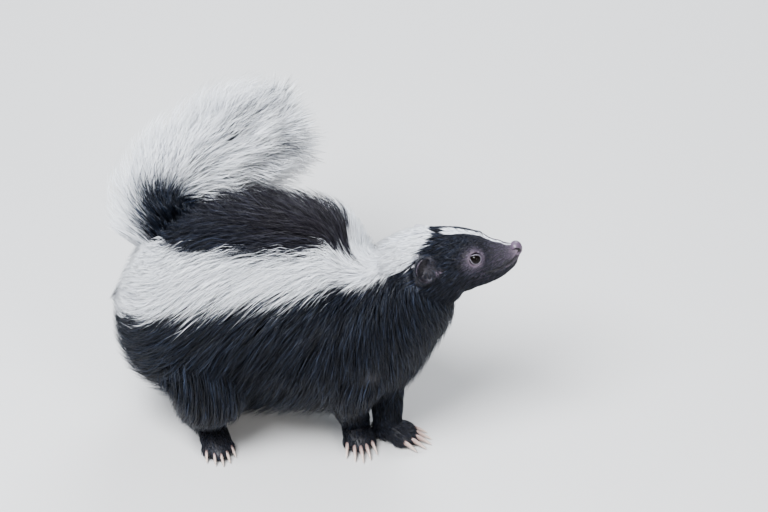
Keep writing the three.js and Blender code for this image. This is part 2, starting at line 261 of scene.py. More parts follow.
tail_flesh = Form(
    [(-112, 20, 150), (-122, 44, 192), (-98, 70, 215), (-54, 92, 230), (-22, 104, 236)],
    [(13, 13), (10, 10), (8, 8), (6, 6), (4, 4)],
)
tail_coat = Form(
    [(-124, 30, 172), (-122, 50, 196), (-92, 75, 216), (-48, 97, 230), (-6, 112, 238)],
    [(40, 40), (54, 54), (57, 57), (58, 58), (44, 44)],
)

legs = {
    "foreleg_right": dict(
        line=[(54, -58, 104), (44, -60, 72), (44, -51, 42), (48, -40, 16)], half=[36, 27, 17, 12.5],
        foot=(48, -40, 0), heading=-80, fore=True,
    ),
    "foreleg_left": dict(
        line=[(64, -6, 104), (66, -10, 72), (75, -22, 42), (77, -42, 16)], half=[34, 26, 17, 12.5],
        foot=(77, -43, 0), heading=-20, fore=True,
    ),
    "hindleg_right": dict(
        line=[(-96, -30, 104), (-80, -54, 72), (-88, -46, 42), (-86, -34, 16)], half=[50, 42, 29, 16],
        foot=(-85, -34, 0), heading=-74, fore=False,
    ),
    "hindleg_left": dict(
        line=[(-96, 50, 104), (-74, 66, 72), (-88, 66, 42), (-94, 62, 16)], half=[50, 42, 28, 16],
        foot=(-94, 62, 0), heading=6, fore=False,
    ),
}
fore_paw = dict(length=24, toe=4.6, claw=15.5, spread=5.4, thick=2.3)
hind_paw = dict(length=42, toe=4.8, claw=9.5, spread=5.8, thick=2.0)
leg_thin = {True: [0.72, 0.68, 0.66, 0.8], False: [0.66, 0.6, 0.55, 0.74]}

parts = [trunk_flesh.shell(90, 64), tail_flesh.shell(50, 24), head_flesh.shell(80, 64)]
leg_flesh, leg_coat, paw_frames = {}, {}, {}
for leg_name, leg in legs.items():
    thin = leg_thin[leg["fore"]]
    leg_flesh[leg_name] = Form(
        leg["line"], [(h * s, h * s * 1.06) for h, s in zip(leg["half"], thin)], up=(1, 0, 0), span=0.12
    )
    leg_coat[leg_name] = Form(
        leg["line"], [(h, h * 1.06) for h in leg["half"]], up=(1, 0, 0), span=0.12
    )
    parts.append(leg_flesh[leg_name].shell(30, 28))
    kind = fore_paw if leg["fore"] else hind_paw
    axes = turned(math.radians(leg["heading"]))
    foot = np.array(leg["foot"], float)
    paw_frames[leg_name] = (foot, axes, kind)
    n = kind["length"]
    palm_line = np.array([(-10, 0, 7.5), (-5, 0, 9), (n * 0.3, 0, 9), (n * 0.75, 0, 7.2), (n, 0, 5.6)])
    palm = Form(foot + palm_line @ axes, [(7, 6), (10, 8.5), (12, 9.3), (13, 7.2), (9.5, 5)])
    parts.append(palm.shell(30, 28))
    for toe in range(-2, 3):
        reach = n - abs(toe) ** 1.7 * 2.6
        root = foot + np.array([reach, -toe * kind["spread"], kind["toe"] * 1.08]) @ axes
        parts.append(oval(root, [kind["toe"] * 1.7, kind["toe"] * 0.62, kind["toe"] * 1.0], axes))

# Each ear is a low round cup, turned outward and forward, with a soft fold at the foot of its hollow.
ear_sides = {"right": -1, "left": 1}
ear_frames = {}
for side_name, side in ear_sides.items():
    turn, tip = -side * math.radians(32), side * math.radians(11)
    out = np.array([-math.sin(turn) * side, math.cos(turn) * side, 0.0])
    ahead = np.array([math.cos(turn), math.sin(turn), 0.0])
    out = np.array([out[0], out[1] * math.cos(tip), out[1] * math.sin(tip)])
    ahead = unit(ahead - out * (ahead @ out))
    rise = np.cross(ahead, out) * side
    ear_axes = np.array([ahead, out, rise]) @ head_axes
    ear_middle = from_head([-82, side * 27.2, 16.2])
    ear_frames[side_name] = (ear_middle, ear_axes)
    profile = [
        (0.01, -7), (5, -6.6), (9, -5), (11.4, -1.6), (12.2, 0.8), (11.6, 2.2), (10.6, 1.4), (9.6, -1.2),
        (7.6, -3.4), (4.5, -4.6), (0.01, -5),
    ]
    sides = 40
    around = np.arange(sides) * 2 * np.pi / sides
    rings = []
    for radius, deep in profile:
        forward = radius * (1 + 0.10 * np.cos(around)) * np.cos(around)
        rings.append(np.stack([forward, np.full(sides, deep), radius * np.sin(around)], -1))
    points = ear_middle + np.vstack(rings) @ ear_axes
    faces = bands(len(profile), sides)
    faces.append(tuple(range(sides)))
    faces.append(tuple(range((len(profile) - 1) * sides, len(profile) * sides))[::-1])
    parts.append((points, faces))
    for lobe, halves in (
        ([9.0, 1.6, -8.6], [3.4, 3.0, 4.4]),
        ([7.5, 0.5, 4.5], [3.2, 2.6, 5.5]),
        ([-1.5, -2.6, -4.0], [5.5, 2.0, 1.8]),
    ):
        parts.append(oval(ear_middle + np.array(lobe) @ ear_axes, halves, ear_axes))

points = np.vstack([p for p, _ in parts])
faces, start = [], 0
for part_points, part_faces in parts:
    faces += [tuple(i + start for i in face) for face in part_faces]
    start += len(part_points)
skin = mesh_object("skin", placed(points), faces)
remesh = skin.modifiers.new("fuse", "REMESH")
remesh.mode = "VOXEL"
remesh.voxel_size = 1.25 * MM
soften = skin.modifiers.new("soften", "SMOOTH")
soften.factor = 0.6
soften.iterations = 6
fused = settled(skin)
# Under the long coat the hide never shows, so it is kept coarser there.
covered = skin.vertex_groups.new(name="under_long_coat")
spots = vertex_values(fused, "co") / MM - stand
deep = np.flatnonzero((spots[:, 0] < 92) & (spots[:, 2] > 34))
covered.add(deep.tolist(), 1.0, "REPLACE")
thin_out = skin.modifiers.new("thin_out", "DECIMATE")
thin_out.ratio = 0.6
thin_out.vertex_group = "under_long_coat"
fused = settled(skin)
skin.vertex_groups.clear()
skin_points = vertex_values(fused, "co") / MM - stand
skin_normals = vertex_values(fused, "normal")
on_head = to_head(skin_points)


# The mouth runs back from under the nose and dips before its corner. Lips swell a little beside it.
def mouth_height(behind):
    return -3.2 - 5.2 * np.sin(np.clip((behind - 3) / 38, 0, 1) * np.pi)


behind = -on_head[:, 0]
mouth = (behind > 2) & (behind < 34) & (np.abs(on_head[:, 1]) < 20)
off_line = on_head[:, 2] - mouth_height(behind)
fade = np.clip((34 - behind) / 6, 0, 1) * np.clip((behind - 2) / 3, 0, 1) * mouth
line_depth = 1.9 * np.exp(-((off_line / 0.85) ** 2)) * fade
lips = 0.7 * np.exp(-(((np.abs(off_line) - 2.3) / 1.3) ** 2)) * fade
skin_points += skin_normals * (lips - line_depth)[:, None]
# The sockets: the hide sinks behind each eyeball and rises in a soft brow round it.
eye_middles = {side_name: from_head(eye_place * [1, side, 1]) for side_name, side in ear_sides.items()}
for side_name, side in ear_sides.items():
    middle = eye_middles[side_name]
    away = skin_points - middle
    outward = unit(head_x * 0.42 + head_y * side + head_z * 0.16)
    along_out = away @ outward
    flat = away - along_out[:, None] * outward
    across = np.linalg.norm(flat, axis=1)
    near = (across < 14) & (along_out > -9)
    skin_points += near[:, None] * outward * (0.8 * np.exp(-(((across - 7.2) / 2.2) ** 2)))[:, None]
    inside = near & (across < 5.4)
    skin_points -= inside[:, None] * outward * np.clip(along_out + 1.0, 0, 9)[:, None]
skin_points[:, 2] = np.maximum(skin_points[:, 2], 0.2)
fused.vertices.foreach_set("co", placed(skin_points).ravel())
fused.update()

# Colours of the coat. White runs from the nape in two broad stripes down the back to the rump and the
# tail, a thin white line goes down the face, and all the rest is black.
# The stripes' lower edge is given at even steps from the rump to the neck, as a turn from the top. The dark
# patch between the stripes has a right and a left edge.
edge_at = np.linspace(0, 1, 12)
white_low = np.radians([175, 101, 84, 73, 69, 67, 63, 52, 41, 43, 42, 37])
patch_at = [0.04, 0.07, 0.11, 0.22, 0.45, 0.54, 0.61, 0.67, 0.73]
patch_right = np.radians([-30, 4, 22, 33, 39, 34, 22, 10, -6])
patch_left = np.radians([-32, -44, -46, -46, -44, -40, -34, -26, -8])


def ripple(*numbers):
    """Smooth irregular waves between about -1 and 1."""
    total = 0
    for k, (fa, fb) in enumerate(((1.0, 1.7), (2.3, -1.1), (4.1, 3.2), (7.7, -6.1))):
        total = total + np.sin(fa * numbers[0] + fb * numbers[-1] + 1.7 * k) / (1 + 0.5 * k)
    return total / 2.3


def trunk_white(t, turn, fray=0.0):
    turn = (turn + np.pi) % (2 * np.pi) - np.pi
    far_side = np.where(turn < 0, np.interp(t, [0.5, 0.65, 0.9], [0, 0.4, 0.2]), 0)
    low = np.interp(t, edge_at, white_low) + fray + far_side
    right = np.interp(t, patch_at, patch_right, left=-9, right=-9) + fray * 0.9
    left = np.interp(t, patch_at, patch_left, left=9, right=9) + fray * 0.9
    return ((np.abs(turn) < low) & ~((turn < right) & (turn > left))).astype(float)


def head_white(places, fray=0.0):
    back, side, top = -places[:, 0], places[:, 1], places[:, 2]
    from_top = np.arctan2(np.abs(side) / 0.8, np.maximum(top + 4, 0.1))
    nape_edge = np.radians(np.interp(back, [68, 69, 73, 80, 87, 97], [-50, 2, 19, 29, 38, 50]))
    nape = from_top < nape_edge + fray * 0.12 + 0.5 * (side > 0) * (back > 70)
    wide = np.interp(back, [5, 8, 20, 34, 44, 51, 57, 60], [0.0, 0.6, 0.8, 1.1, 1.9, 3.0, 3.2, 0.0])
    blaze = (np.abs(side) < wide * (1 + 0.25 * fray)) & (top > 0)
    return (nape | blaze).astype(float)


def trunk_place(points):
    """Nearest share and turn on the trunk for loose places."""
    shares = np.linspace(0, 1, 240)
    line = trunk_flesh.middle(shares)
    best = np.array([shares[np.argmin(((line - p) ** 2).sum(1))] for p in points])
    _, right, top = trunk_flesh.frame(best)
    away = points - trunk_flesh.middle(best)
    return best, np.arctan2((away * right).sum(1), (away * top).sum(1))


on_head = to_head(skin_points)
skin_white = np.zeros(len(skin_points))
is_head = -on_head[:, 0] < 92
skin_white[is_head] = head_white(on_head[is_head])
loose = ~is_head & (skin_points[:, 2] > 60)
t_loose, turn_loose = trunk_place(skin_points[loose])
skin_white[loose] = trunk_white(t_loose, turn_loose)
tail_line = tail_flesh.middle(np.linspace(0.25, 1, 60))
high_up = skin_points[:, 2] > 165
tail_far = np.full(len(skin_points), 1e9)
tail_far[high_up] = np.min(np.linalg.norm(skin_points[high_up][:, None] - tail_line[None], axis=2), axis=1)
skin_white[tail_far < 16] = 1.0


def from_eyes(points):
    """Distance to the nearer eye."""
    return np.min([np.linalg.norm(points - m, axis=1) for m in eye_middles.values()], axis=0)


def add_numbers(mesh, name, values):
    attribute = mesh.attributes.new(name, "FLOAT", "POINT")
    attribute.data.foreach_set("value", np.asarray(values, np.float32))


add_numbers(fused, "white", skin_white)
eye_far = from_eyes(skin_points)
bare_eye = np.exp(-((np.maximum(eye_far - 5.5, 0) / 3.0) ** 2))
bare_nose = np.exp(-((np.maximum(-on_head[:, 0] - 4, 0) / 6.0) ** 2)) * is_head
bare_nose *= np.clip((on_head[:, 2] + 9) / 5, 0.15, 1)
lip_off = on_head[:, 2] - mouth_height(-on_head[:, 0])
lip_zone = is_head * (-on_head[:, 0] < 32) * (np.abs(on_head[:, 1]) > 2)
lip_front = np.clip((30 + on_head[:, 0]) / 14, 0, 1)
# Painted highlight: a pale band along the lower lip, just under the mouth line.
lip_highlight = 0.35 * lip_zone * np.exp(-((lip_off + 1.9) ** 2)) * lip_front
lip_dark = lip_zone * np.exp(-(lip_off**2))
bare_ear = np.zeros(len(skin_points))
rim = np.zeros(len(skin_points))
for ear_middle, ear_axes in ear_frames.values():
    local = (skin_points - ear_middle) @ ear_axes.T
    wide = np.hypot(local[:, 0], local[:, 2])
    lobe_far = np.linalg.norm((local - [9.0, 3.0, -8.6]) / [3.6, 4.0, 4.4], axis=1)
    bare_ear = np.maximum(bare_ear, 0.05 * (wide < 11) * (local[:, 1] > -6))
    bare_ear = np.maximum(bare_ear, 0.6 * (lobe_far < 1.1))
    rim = np.maximum(rim, (np.abs(wide - 12) < 1.4) * (local[:, 1] > 0) * np.clip(-local[:, 0] / 8, 0, 1))
# Pale bare skin round the eyes, nose and ears, together with the painted lip highlight.
bare_and_lip_highlight = np.maximum.reduce([bare_eye * 0.6, bare_nose * 0.7, bare_ear, rim * 0.5, lip_highlight])
add_numbers(fused, "bare_and_lip_highlight", np.clip(bare_and_lip_highlight - lip_dark, 0, 1))
rounded(fused)


class Wire:
    """A shader socket that can be added to, multiplied and so on, each time with a Math node."""

    def __init__(self, paint, socket):
        self.paint, self.socket = paint, socket

    def _math(self, operation, *others):
        return self.paint.node("ShaderNodeMath", {"operation": operation}, [self, *others])

    def __add__(self, other):
        return self._math("ADD", other)

    def __sub__(self, other):
        return self._math("SUBTRACT", other)

    def __rsub__(self, other):
        return self.paint.node("ShaderNodeMath", {"operation": "SUBTRACT"}, [other, self])

    def __mul__(self, other):
        return self._math("MULTIPLY", other)

    def __pow__(self, other):
        return self._math("POWER", other)

    __radd__, __rmul__ = __add__, __mul__


class Paint:
    """One material and its nodes."""

    def __init__(self, name):
        self.material = bpy.data.materials.new(name)
        self.material.use_nodes = True
        self.tree = self.material.node_tree
        self.shader = self.tree.nodes["Principled BSDF"]

    def node(self, kind, settings=None, inputs=(), output=0):
        made = self.tree.nodes.new(kind)
        for key, value in (settings or {}).items():
            setattr(made, key, value)
        pairs = inputs.items() if isinstance(inputs, dict) else enumerate(inputs)
        for key, value in pairs:
            self.join(value, made.inputs[key])
        return Wire(self, made.outputs[output])

    def join(self, value, socket):
        if isinstance(value, Wire):
            self.tree.links.new(value.socket, socket)
        else:
            socket.default_value = value

    def set(self, **values):
        for key, value in values.items():
            self.join(value, self.shader.inputs[key.replace("_", " ")])

    def number(self, name):
        return self.node("ShaderNodeAttribute", {"attribute_name": name}, output="Fac")

    def mix(self, share, first, second):
        return self.node("ShaderNodeMix", {"data_type": "RGBA"}, {0: share, 6: first, 7: second}, output=2)

    def noise(self, scale, detail=3.0):
        place = self.node("ShaderNodeTexCoord", output="Object")
        return self.node("ShaderNodeTexNoise", {}, {"Vector": place, "Scale": scale, "Detail": detail})

    def bump(self, height, strength, distance):
        made = self.node("ShaderNodeBump", {}, {"Height": height})
        made.socket.node.inputs["Strength"].default_value = strength
        made.socket.node.inputs["Distance"].default_value = distance
        return made


hide = Paint("hide")
grain = hide.noise(900.0, 4.0)
patch = hide.noise(120.0, 2.0)
dark_skin = hide.mix(patch, (0.012, 0.012, 0.016, 1), (0.030, 0.028, 0.034, 1))
pale_skin = hide.mix(patch, (0.36, 0.35, 0.38, 1), (0.52, 0.51, 0.55, 1))
# Pale bare-skin colour, also used for the painted lip highlight.
naked_and_lip_highlight = hide.mix(patch, (0.12, 0.085, 0.115, 1), (0.30, 0.23, 0.30, 1))
coloured = hide.mix(hide.number("white"), dark_skin, pale_skin)
hide.set(Base_Color=hide.mix(hide.number("bare_and_lip_highlight"), coloured, naked_and_lip_highlight), Roughness=0.62 - grain * 0.2)
hide.set(Normal=hide.bump(grain, 0.5, 0.0006))
fused.materials.append(hide.material)
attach(skin, "root")
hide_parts("torso", "neck", "head", "tail", "ear_right", "ear_left", *legs)
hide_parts(*[leg_name.replace("leg", "paw") for leg_name in legs])

# Eyes. Each is a wet black ball with a brown iris that hardly shows, in a rim of bare lid skin.
eye_paint = Paint("wet_eye")
pupil, iris = (0.002, 0.0015, 0.0015, 1), (0.008, 0.005, 0.004, 1)
eye_paint.set(Base_Color=eye_paint.mix(eye_paint.noise(700.0), pupil, iris))
eye_paint.set(Roughness=0.06, Coat_Weight=0.12, Coat_Roughness=0.02, Specular_IOR_Level=0.10)
lid_paint = Paint("lid_skin")
# Painted glint: the lid is painted pale on its outer side, most towards the front and top, as light on the
# wet rim.
lid_dark, lid_glint_colour = (0.010, 0.008, 0.010, 1), (0.55, 0.50, 0.60, 1)
lid_paint.set(Base_Color=lid_paint.mix(lid_paint.number("lid_glint"), lid_dark, lid_glint_colour))
lid_paint.set(Roughness=0.38, Normal=lid_paint.bump(lid_paint.noise(1500.0), 0.3, 0.0003))


def paved(name, rings, closed=False):
    """Smooth mesh through rings of points, with its ends capped or joined."""
    count, sides = len(rings), len(rings[0])
    faces = bands(count, sides, closed=closed)
    if not closed:
        faces.append(tuple(range(sides))[::-1])
        faces.append(tuple(range((count - 1) * sides, count * sides)))
    made = mesh_object(name, placed(np.vstack(rings)), faces)
    rounded(made.data)
    return made


for side_name, side in ear_sides.items():
    middle = eye_middles[side_name]
    outward = unit(from_head([0.42, side, 0.16]) - nose_tip)
    ahead = unit(head_x - outward * (head_x @ outward))
    rise = np.cross(outward, ahead) * side
    rings = []
    for a in np.linspace(0.02, np.pi - 0.02, 28):
        radius = eye_radius * (1 + 0.05 * max(0.0, math.cos(a)) ** 6)
        b = np.arange(40) * 2 * np.pi / 40
        flat = np.cos(b)[:, None] * ahead + np.sin(b)[:, None] * rise
        ring = math.cos(a) * outward + math.sin(a) * flat
        rings.append(middle + ring * radius * 0.98)
    ball = paved("eyeball_" + side_name, rings)
    ball.data.materials.append(eye_paint.material)
    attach(ball, "root")
    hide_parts("eye_" + side_name)
    rings, lid_glint = [], []
    tilt = math.radians(38)
    for b in np.linspace(0, 2 * np.pi, 48, endpoint=False):
        point = 4.25 + 0.45 * max(0, -math.cos(b)) ** 4
        u, v = point * math.cos(b), 3.5 * math.sin(b)
        u, v = u * math.cos(tilt) - v * math.sin(tilt), u * math.sin(tilt) + v * math.cos(tilt)
        deep = math.sqrt(max(eye_radius**2 - u * u - v * v, 0.3)) + 0.1
        spine = middle + ahead * u + rise * v + outward * deep
        away = unit(ahead * u + rise * v)
        ring = []
        for c in np.linspace(0, 2 * np.pi, 12, endpoint=False):
            # Painted glint: paler on the outer side of the rim, strongest towards the front and top.
            shine = 0.3 + 0.7 * max(0.0, math.cos(b + tilt - math.radians(45))) ** 2
            lid_glint.append(shine * min(1.0, max(0.0, math.cos(c) + 0.35)))
            ring.append(spine + away * (0.75 * math.cos(c) + 0.45) + outward * (0.55 * math.sin(c) - 0.35))
        rings.append(np.array(ring))
    lid = paved("lid_" + side_name, rings, closed=True)
    add_numbers(lid.data, "lid_glint", lid_glint)
    lid.data.materials.append(lid_paint.material)
    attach(lid, "root")
    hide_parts("eye_" + side_name)

# Nose. A bare, moist, finely grained pad with a comma-shaped nostril on each side and a groove below.
a, b = np.meshgrid(np.linspace(0.03, np.pi - 0.03, 60), np.arange(96) * 2 * np.pi / 96, indexing="ij")
ball = np.stack([np.cos(a), np.sin(a) * np.cos(b), np.sin(a) * np.sin(b)], -1)
pad = ball * [5.6, 6.4, 6.7] + [-5.0, 0, 0.4]
hollow = np.zeros(pad.shape[:2])
for side in (-1, 1):
    off = pad - [-4.4, side * 5.4, 0.9]
    curl = off[..., 2] + 0.10 * (off[..., 0] + 0.5) ** 2 - 0.3
    hole = np.exp(-((off[..., 0] / 3.9) ** 2) - ((off[..., 1] / 3.0) ** 2) - ((curl / 2.3) ** 2))
    pad += hole[..., None] * np.array([-0.6, -side * 3.0, -0.1])
    rim = np.exp(-((off[..., 0] / 3.2) ** 2) - ((off[..., 1] / 2.6) ** 2) - (((curl - 2.7) / 1.0) ** 2))
    pad += rim[..., None] * np.array([0.35, side * 0.55, 0.35])
    hollow = np.maximum(hollow, hole)
groove = np.exp(-((pad[..., 1] / 0.45) ** 2)) * np.clip(1.5 - pad[..., 2], 0, 1) * (ball[..., 0] > 0)
pad[..., 0] -= 0.7 * groove
nose = paved("nose_pad", [from_head(row) for row in pad])
add_numbers(nose.data, "hollow", np.clip(hollow.ravel() * 3.0 - 0.45, 0, 1))
nose_paint = Paint("nose_skin")
cells = nose_paint.node(
    "ShaderNodeTexVoronoi", {"feature": "DISTANCE_TO_EDGE"},
    {"Vector": nose_paint.node("ShaderNodeTexCoord", output="Object"), "Scale": 1500.0}, output="Distance",
)
bloom = nose_paint.mix(nose_paint.noise(260.0), (0.055, 0.038, 0.058, 1), (0.16, 0.115, 0.165, 1))
# Painted shade: the nostril hollows are painted near black for the darkness inside the openings.
nose_paint.set(Base_Color=nose_paint.mix(nose_paint.number("hollow"), bloom, (0.006, 0.004, 0.005, 1)))
nose_paint.set(Roughness=0.42, Coat_Weight=0.2, Coat_Roughness=0.25)
nose_paint.set(Normal=nose_paint.bump(cells, 0.35, 0.0004))
nose.data.materials.append(nose_paint.material)
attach(nose, "root")
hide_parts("nose")

# Claws. Long curved digging claws on the forefeet and short ones behind, ivory with a darker, pinkish root.
claw_paint = Paint("claw_horn")
root_share = claw_paint.number("along")
streaks = claw_paint.noise(600.0, 2.0)
horn = claw_paint.mix(root_share, (0.30, 0.19, 0.18, 1), (0.74, 0.62, 0.54, 1))
claw_paint.set(Base_Color=claw_paint.mix(streaks * 0.35, horn, (0.22, 0.15, 0.13, 1)), Roughness=0.36)
claw_paint.set(Normal=claw_paint.bump(streaks, 0.25, 0.0003), Coat_Weight=0.2)
for leg_name, (foot, axes, kind) in paw_frames.items():
    points, faces, share = [], [], []
    for toe in range(-2, 3):
        reach = kind["length"] - abs(toe) ** 1.7 * 2.6
        root = np.array([reach + kind["toe"] * 1.0, -toe * kind["spread"], kind["toe"] * 1.05 + 0.4])
        spin = turned(math.radians(-toe * 7))
        start = len(points) * 10
        for u in np.linspace(0, 1, 12):
            radius = kind["thick"] * (1 - u**1.8) ** 0.8 + 0.1
            x, z = u * kind["claw"] - 1.5, 1.6 - 5.2 * u * u
            c = np.arange(10) * 2 * np.pi / 10
            ring = np.stack([
                np.full(10, x) - 0.3 * radius * np.sin(c) * u, radius * 0.8 * np.cos(c),
                z + radius * 1.2 * np.sin(c),
            ], -1)
            ring = foot + (root + ring @ spin) @ axes
            ring[:, 2] = np.maximum(ring[:, 2], 0.15)
            points.append(ring)
            share += [u] * 10
        faces += bands(12, 10, start)
        faces.append(tuple(range(start, start + 10))[::-1])
        faces.append(tuple(range(start + 110, start + 120)))
    paw_name = leg_name.replace("leg", "paw")
    claws = mesh_object("claws_" + paw_name, placed(np.vstack(points)), faces)
    rounded(claws.data)
    add_numbers(claws.data, "along", share)
    claws.data.materials.append(claw_paint.material)
    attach(claws, "root")
    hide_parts(paw_name)

# Coat. Every tuft is a thin three-sided blade that leaves the hide, bends over and follows the lie. White
# tufts are a clear cool white, greyer at the root; black ones bear a painted blue sheen, or are brown on
# the back.
fur_paint = Paint("fur")
tone, along, white = fur_paint.number("tone"), fur_paint.number("along"), fur_paint.number("white")
warm = fur_paint.number("warm")
# Painted sheen: the lighter, bluer end of the black tufts stands in for light glancing off glossy fur.
black_with_blue_sheen = fur_paint.mix(tone ** 2.5, (0.0028, 0.0034, 0.0060, 1), (0.060, 0.080, 0.132, 1))
black_warm = fur_paint.mix(tone ** 1.6, (0.007, 0.005, 0.007, 1), (0.046, 0.033, 0.041, 1))
# Lavender face tone: bare skin round the eyes and on the snout, and painted sheen on the cheeks.
bare_face_and_cheek_sheen = fur_paint.mix(tone, (0.040, 0.032, 0.044, 1), (0.27, 0.22, 0.30, 1))
black = fur_paint.mix(fur_paint.number("pale_skin"), fur_paint.mix(warm, black_with_blue_sheen, black_warm), bare_face_and_cheek_sheen)
white_root = fur_paint.mix(tone, (0.48, 0.50, 0.58, 1), (0.66, 0.68, 0.74, 1))
white_tip = fur_paint.mix(tone, (0.86, 0.88, 0.92, 1), (0.97, 0.97, 0.96, 1))
pale = fur_paint.mix(along ** 0.45, white_root, white_tip)
fur_paint.set(Base_Color=fur_paint.mix(white, black, pale), Roughness=0.40 + white * 0.3)
rng = np.random.default_rng(4127)


def fur(name, paths, half, white, warm, patches, nodes, pale=None):
    """Joined blades along paths of shape (tufts, steps, 3), each a closed three-sided taper."""
    tufts, steps, _ = paths.shape
    paths = paths.copy()
    paths[..., 2] = np.maximum(paths[..., 2], 0.8)
    tangent = unit(np.gradient(paths, axis=1))
    across = unit(np.cross(tangent, rng.normal(size=(tufts, 1, 3))))
    other = np.cross(tangent, across)
    s = np.linspace(0, 1, steps)
    taper = np.interp(s, [0, 0.35, 0.8, 1], [0.8, 1.0, 0.55, 0.0])
    radius = half[:, None] * taper
    rings = []
    for k in range(3):
        c = 2 * np.pi * k / 3
        rings.append(paths + (across * math.cos(c) + other * math.sin(c)) * radius[..., None])
    body = np.stack(rings, 2)[:, :-1].reshape(tufts, -1, 3)
    points = np.concatenate([body, paths[:, -1:]], axis=1)
    per = points.shape[1]
    faces = []
    for r in range(steps - 2):
        for k in range(3):
            n = (k + 1) % 3
            low, high = 3 * r, 3 * r + 3
            faces += [(low + k, low + n, high + n), (low + k, high + n, high + k)]
    for k in range(3):
        faces.append((3 * (steps - 2) + k, 3 * (steps - 2) + (k + 1) % 3, per - 1))
    faces.append((0, 2, 1))
    faces = np.array(faces)
    triangles = (faces[None] + (np.arange(tufts) * per)[:, None, None]).reshape(-1, 3)
    mesh = bpy.data.meshes.new(name)
    mesh.vertices.add(tufts * per)
    mesh.vertices.foreach_set("co", placed(points.reshape(-1, 3)).astype(np.float32).ravel())
    mesh.loops.add(len(triangles) * 3)
    mesh.loops.foreach_set("vertex_index", triangles.ravel().astype(np.int32))
    mesh.polygons.add(len(triangles))
    mesh.polygons.foreach_set("loop_start", np.arange(0, len(triangles) * 3, 3, dtype=np.int32))
    rounded(mesh)
    mesh.update(calc_edges=True)
    share = np.append(np.repeat(s[:-1], 3), 1.0)
    side = np.append(np.tile([0, 0.5, 1.0], steps - 1), 0.5)
    tone = np.clip(rng.beta(2.0, 2.2, tufts), 0, 1)
    add_numbers(mesh, "along", np.tile(share, tufts))
    add_numbers(mesh, "white", np.repeat(white, per))
    add_numbers(mesh, "warm", np.repeat(warm, per))
    add_numbers(mesh, "tone", np.repeat(tone, per))
    if pale is not None:
        add_numbers(mesh, "pale_skin", np.repeat(pale, per))
    tuft_patch = 0.003
    spread = np.stack([side - 0.5, share - 0.5], -1) * tuft_patch
    flat = (patches[:, None] * 0.99 + 0.005 + spread[None]).reshape(-1, 2)
    layer = mesh.uv_layers.new(name="OFBake")
    layer.data.foreach_set("uv", flat[triangles.ravel()].astype(np.float32).ravel())
    made = bpy.data.objects.new(name, mesh)
    bpy.context.scene.collection.objects.link(made)
    mesh.materials.append(fur_paint.material)
    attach(made, "root")
    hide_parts(*nodes)
    return made


def even(count):
    """Evenly spread pairs between 0 and 1, with a little play."""
    i = np.arange(count)
    pairs = np.stack([(0.5 + i * 0.7548776662466927) % 1, (0.5 + i * 0.5698402909980532) % 1], -1)
    return np.clip(pairs + rng.uniform(-1, 1, (count, 2)) * 0.5 / math.sqrt(count), 0, 1)


def gathered(t, turn, size_t, size_turn, pull):
    """Moves tips towards the middle of the lock that they belong to."""
    row = np.floor(t / size_t)
    shift = (row % 2) * 0.5
    cell = np.floor(turn / size_turn + shift)
    mark = np.sin(row * 127.1 + cell * 311.7) * 43758.5453
    play = mark - np.floor(mark)
    middle_t = (row + 0.3 + 0.4 * play) * size_t
    middle_turn = (cell + 0.5 - shift + 0.3 * (play - 0.5)) * size_turn
    return (middle_t - t) * pull, (middle_turn - turn) * pull, play


# Long coat of the trunk: 4 to 6 cm, lying back along the spine and down the flanks, parted by the two
# white stripes and longest on the rump, where it stands off behind.
trunk_long = trunk_coat.length()
steps = np.linspace(0, 1, 4)
trunk_strands = 50000
spots = even(trunk_strands)
area = trunk_coat.half(np.linspace(0, 1, 400)).sum(1) + 14
area = np.cumsum(area) / area.sum()
t0 = np.interp(spots[:, 0] ** 1.06, area, np.linspace(0, 1, 400))
turn0 = (spots[:, 1] * 2 - 1) * np.pi
reach = np.interp(t0, [0, 0.15, 0.5, 0.75, 1], [40, 58, 50, 42, 26]) * rng.uniform(0.75, 1.15, len(t0))
sink = np.radians(np.interp(t0, [0, 0.2, 0.45, 0.7, 1], [30, 46, 62, 72, 60]))
wave = ripple(t0 * 26, turn0 * 5)
lie = sink * np.abs(np.sin(turn0)) ** 0.6 * np.sign(turn0) * (1 - 0.12 * wave)
lie = lie + rng.normal(0, 0.10, len(t0))
around = trunk_coat.half(t0).mean(1)
run_t = reach * np.cos(lie) / trunk_long
run_turn = reach * np.sin(lie) / around
pull_t, pull_turn, lock_play = gathered(t0, turn0, 0.022, 0.10, 0.45)
lift = np.clip(rng.normal(0.90, 0.10, len(t0)) + 0.16 * (lock_play - 0.5), 0.5, 1.07)
run_t = np.minimum(run_t, t0 + 0.015)
lift *= 1 - rng.random(len(t0)) ** 1.6 * np.clip(1 - t0 / 0.07, 0, 1) * 0.95
lift *= 1 - 0.30 * np.clip(1.25 - t0 / 0.22, 0, 1) * np.clip((turn0 - 0.9) / 0.7, 0, 1)
hang = 11 * lift * np.clip((np.abs(turn0) - 1.7) / 0.7, 0, 1)
paths = []
for s in steps:
    t = t0 - run_t * s**1.15 + pull_t * s**2
    turn = turn0 + run_turn * s**1.1 + pull_turn * s**2
    rise = (np.sin(np.minimum(s * 1.02, 1) * np.pi / 2) ** 0.9) * lift
    inner, outer = trunk_flesh.point(t, turn, -1.0), trunk_coat.point(t, turn)
    spot = inner + (outer - inner) * rise[:, None]
    ahead = trunk_coat.frame(np.clip(t, 0, 1))[0]
    spot += ahead * (np.maximum(np.minimum(t, 0) * trunk_long, -4) * (1.4 - 0.8 * lift))[:, None]
    spot[:, 2] = np.maximum(spot[:, 2] - hang * s**2, 5 + 6 * lock_play)
    paths.append(spot)
paths = np.stack(paths, 1)
fray = 0.055 * rng.normal(size=len(t0)) + 0.05 * ripple(t0 * 60, turn0 * 2) + 0.05 * (lock_play - 0.5)
shown_turn = turn0 + run_turn * 0.88
shown_t = t0 - run_t * 0.88
white_here = trunk_white(shown_t, shown_turn, fray)
